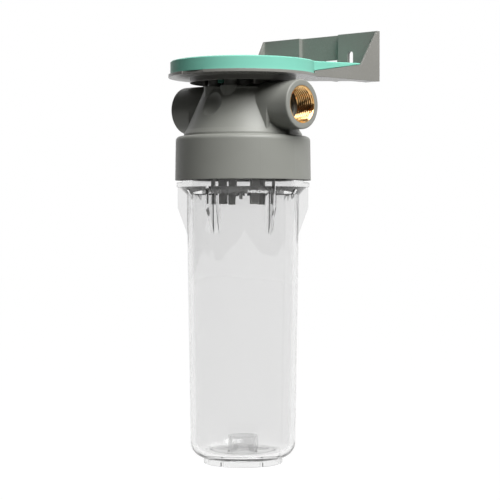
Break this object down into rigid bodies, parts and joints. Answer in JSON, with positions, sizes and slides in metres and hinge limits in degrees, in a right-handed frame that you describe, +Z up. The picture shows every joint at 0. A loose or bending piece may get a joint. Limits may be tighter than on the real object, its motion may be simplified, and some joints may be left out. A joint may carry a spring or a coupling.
{
  "type": "water filter housing",
  "caption": "Wall-hung housing for a filter cartridge: bracket with clipped cover, head with two threaded ports, clear screw-on bowl.",
  "frame": {"origin": "on the wall face of the bracket, midway between the seats of the two wall screws", "axes": "+Z up along the housing, +Y into the wall, the two ports point along +X and -X"},
  "size_m": [0.1444, 0.1858, 0.403],
  "materials": {
    "bracket_plastic": "moulded, fine satin",
    "cover_plastic": "moulded, satin",
    "head_plastic": "moulded, fine satin",
    "brass": "machined",
    "clear_plastic": "moulded, polished and clear",
    "seal_rubber": "smooth",
    "screw_steel": "zinc plated"
  },
  "bodies": {
    "head": {"wall_bracket": "bracket_plastic", "top_cover": "cover_plastic", "filter_head": "head_plastic", "inlet_insert": "brass", "outlet_insert": "brass", "bracket_screw_1": "screw_steel", "bracket_screw_2": "screw_steel", "bracket_screw_3": "screw_steel", "bracket_screw_4": "screw_steel", "screw_washer_1": "screw_steel", "screw_washer_2": "screw_steel", "screw_washer_3": "screw_steel", "screw_washer_4": "screw_steel"},
    "seal": {"bowl_o_ring": "seal_rubber"},
    "bowl": {"bowl": "clear_plastic"}
  },
  "joints": [
    {"name": "bowl_drop", "type": "slide", "parent": "head", "child": "seal", "axis": [0, 0, -1], "range_m": [0, 0.015]},
    {"name": "bowl_turn", "type": "hinge", "parent": "seal", "child": "bowl", "pos_m": [0, -0.118, -0.2], "axis": [0, 0, -1], "range_deg": [0, 900]}
  ],
  "couplings": [
    {"joint": "bowl_drop", "follows": "bowl_turn", "m_per_rad": 0.00095493}
  ]
}
